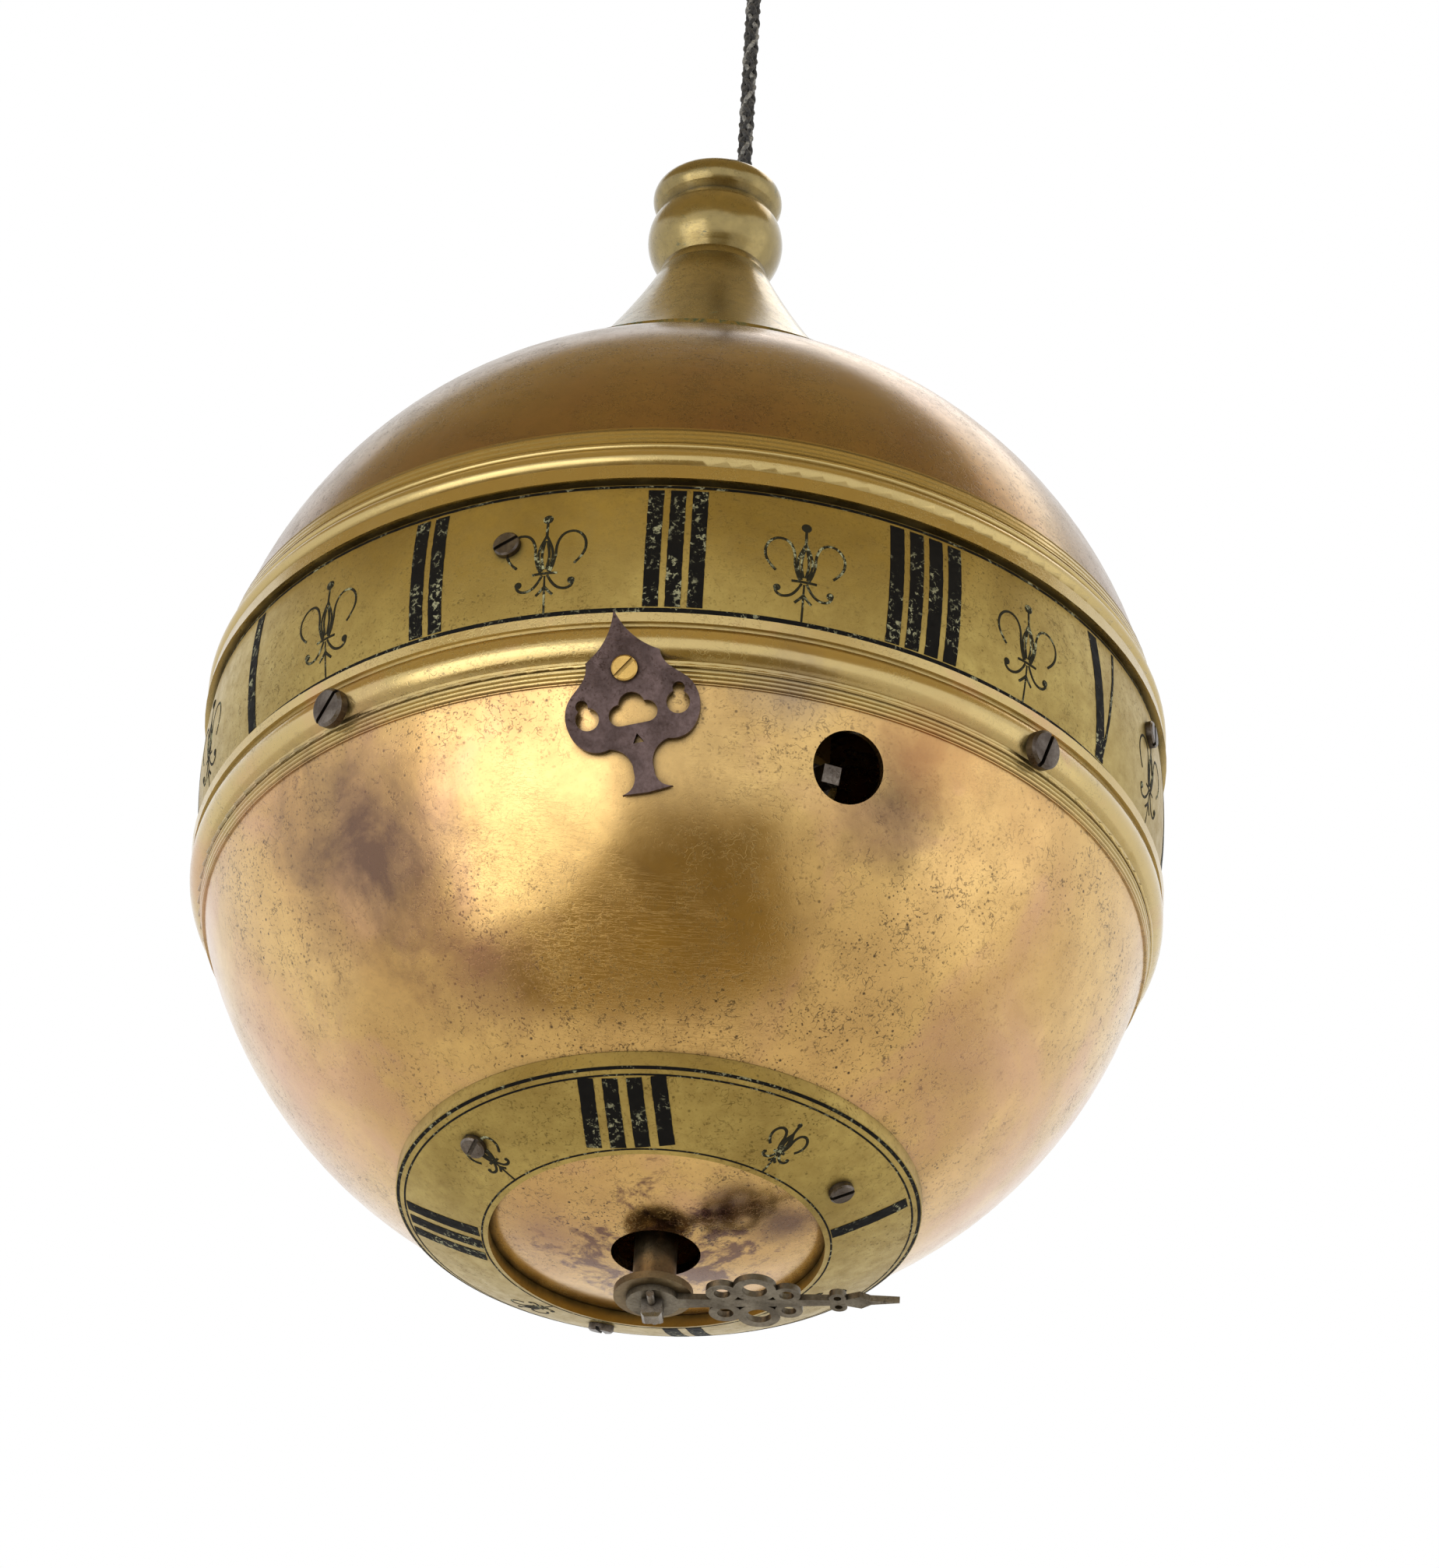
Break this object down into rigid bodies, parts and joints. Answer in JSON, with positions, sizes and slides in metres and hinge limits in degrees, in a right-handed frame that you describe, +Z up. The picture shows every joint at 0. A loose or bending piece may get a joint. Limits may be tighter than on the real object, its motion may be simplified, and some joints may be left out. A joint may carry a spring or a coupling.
{
  "type": "falling ball clock",
  "caption": "Brass ball clock hanging on a cord, with a turning hour band, a fixed pierced pointer and a quarter dial with one hand underneath.",
  "frame": {"origin": "middle of the hanging eye at the cord's upper end", "axes": "+Z up the cord and the ball's axis, -Y towards the hour pointer at the front, +X to its right"},
  "size_m": [0.115, 0.1166, 0.2132],
  "materials": {
    "patinated_brass": "patinated, satin",
    "gilt_brass": "worn gilding, pitted",
    "cast_brass": "turned, greenish patina",
    "dial_brass": "olive brass, engraved",
    "dark_steel": "dark, filed",
    "screw_steel": "dark, polished",
    "hand_steel": "grey, filed",
    "arbor_steel": "turned",
    "turned_brass": "turned",
    "braided_cord": "braided",
    "movement_brass": "polished",
    "movement_steel": "polished"
  },
  "bodies": {
    "suspension": {"hanging_eye": "turned_brass", "cord_hanging": "braided_cord"},
    "case": {"balance_cock": "movement_brass", "balance_spring": "movement_steel", "bottom_plate": "movement_brass", "centre_cock": "movement_brass", "cord_lead": "braided_cord", "crown_cock": "movement_brass", "crown_pillars": "movement_brass", "crown_plate": "movement_brass", "crown_tube": "movement_brass", "dial_screws": "screw_steel", "drum_arbor": "movement_steel", "finial": "cast_brass", "hour_pointer": "dark_steel", "idler_stud": "movement_steel", "lower_dome": "gilt_brass", "motion_cock": "movement_brass", "plate_pillars": "movement_brass", "plate_screws": "movement_steel", "pointer_screw": "turned_brass", "pulley_bracket": "movement_brass", "pulley_pin": "movement_steel", "quarter_dial": "dial_brass", "regulating_bracket": "movement_brass", "rim_screws": "screw_steel", "shell_brackets": "movement_brass", "small_screws": "movement_steel", "top_plate": "movement_brass", "upper_dome": "patinated_brass"},
    "hour_ring": {"hour_band": "dial_brass", "band_carrier": "movement_brass", "internal_ring_wheel": "movement_brass", "band_screws": "screw_steel", "ring_screws": "movement_steel"},
    "drum": {"cord_drum": "movement_brass", "drum_cap": "movement_brass", "cord_winding": "braided_cord", "ratchet_wheel": "movement_brass", "rewind_spring": "movement_steel"},
    "great_wheel": {"great_wheel": "movement_brass"},
    "click": {"click": "movement_steel"},
    "centre": {"centre_arbor": "arbor_steel", "centre_wheel": "movement_brass", "centre_pinion": "movement_steel", "sun_pinion": "movement_steel", "hand_pipe": "turned_brass", "quarter_hand": "hand_steel", "hand_pin": "turned_brass"},
    "idler": {"idler_wheel": "movement_brass"},
    "pulley": {"guide_pulley": "movement_brass"},
    "regulator": {"regulating_arbor": "movement_steel"},
    "third": {"third_arbor": "movement_steel", "third_wheel": "movement_brass"},
    "contrate": {"contrate_arbor": "movement_steel", "contrate_wheel": "movement_brass"},
    "crown": {"crown_arbor": "movement_steel", "crown_wheel": "movement_brass"},
    "verge": {"verge": "movement_steel", "balance_wheel": "movement_brass"}
  },
  "joints": [
    {"name": "ball_fall", "type": "slide", "parent": "suspension", "child": "case", "axis": [0, 0, 1], "range_m": [-0.754, 0.02], "deforming": ["cord_hanging", "cord_lead"]},
    {"name": "hour_band_turn", "type": "hinge", "parent": "case", "child": "hour_ring", "pos_m": [-0.003, 0, -0.139], "axis": [0, 0, 1], "continuous": true},
    {"name": "drum_turn", "type": "hinge", "parent": "case", "child": "drum", "pos_m": [0.02064, 0.015, -0.121], "axis": [0, 0, 1], "range_deg": [-4000, 4000]},
    {"name": "guide_pulley_turn", "type": "hinge", "parent": "case", "child": "pulley", "pos_m": [0.004, 0, -0.1086], "axis": [0, 1, 0], "range_deg": [-14000, 14000]},
    {"name": "great_wheel_turn", "type": "hinge", "parent": "case", "child": "great_wheel", "pos_m": [0.02064, 0.015, -0.134], "axis": [0, 0, 1], "continuous": true},
    {"name": "centre_arbor_turn", "type": "hinge", "parent": "case", "child": "centre", "pos_m": [-0.003, 0, -0.139], "axis": [0, 0, 1], "continuous": true},
    {"name": "idler_turn", "type": "hinge", "parent": "case", "child": "idler", "pos_m": [-0.003, 0.0234, -0.1415], "axis": [0, 0, 1], "continuous": true},
    {"name": "click_lift", "type": "hinge", "parent": "great_wheel", "child": "click", "pos_m": [0.01438, -0.0022, -0.132], "axis": [0, 0, 1], "range_deg": [0, 8]},
    {"name": "third_turn", "type": "hinge", "parent": "case", "child": "third", "pos_m": [-0.01488, -0.01188, -0.1295], "axis": [0, 0, 1], "continuous": true},
    {"name": "contrate_turn", "type": "hinge", "parent": "case", "child": "contrate", "pos_m": [-0.02869, -0.01691, -0.1235], "axis": [0, 0, 1], "continuous": true},
    {"name": "crown_wheel_turn", "type": "hinge", "parent": "case", "child": "crown", "pos_m": [-0.02869, -0.01691, -0.11959], "axis": [0.891, -0.454, 0], "continuous": true},
    {"name": "balance_swing", "type": "hinge", "parent": "case", "child": "verge", "pos_m": [-0.01087, -0.02599, -0.102], "axis": [0, 0, 1], "range_deg": [-50, 50]},
    {"name": "regulating_arbor_turn", "type": "hinge", "parent": "case", "child": "regulator", "pos_m": [0.01538, -0.04942, -0.16278], "axis": [0.323, -0.8686, -0.3757], "range_deg": [-180, 180]}
  ],
  "couplings": [
    {"joint": "drum_turn", "follows": "ball_fall", "rad_per_m": 66.667},
    {"joint": "guide_pulley_turn", "follows": "ball_fall", "rad_per_m": -250},
    {"joint": "centre_arbor_turn", "follows": "hour_band_turn", "ratio": -12},
    {"joint": "great_wheel_turn", "follows": "hour_band_turn", "ratio": 4},
    {"joint": "third_turn", "follows": "hour_band_turn", "ratio": 72},
    {"joint": "contrate_turn", "follows": "hour_band_turn", "ratio": -432},
    {"joint": "crown_wheel_turn", "follows": "hour_band_turn", "ratio": -1728},
    {"joint": "idler_turn", "follows": "hour_band_turn", "ratio": 2.1818}
  ]
}
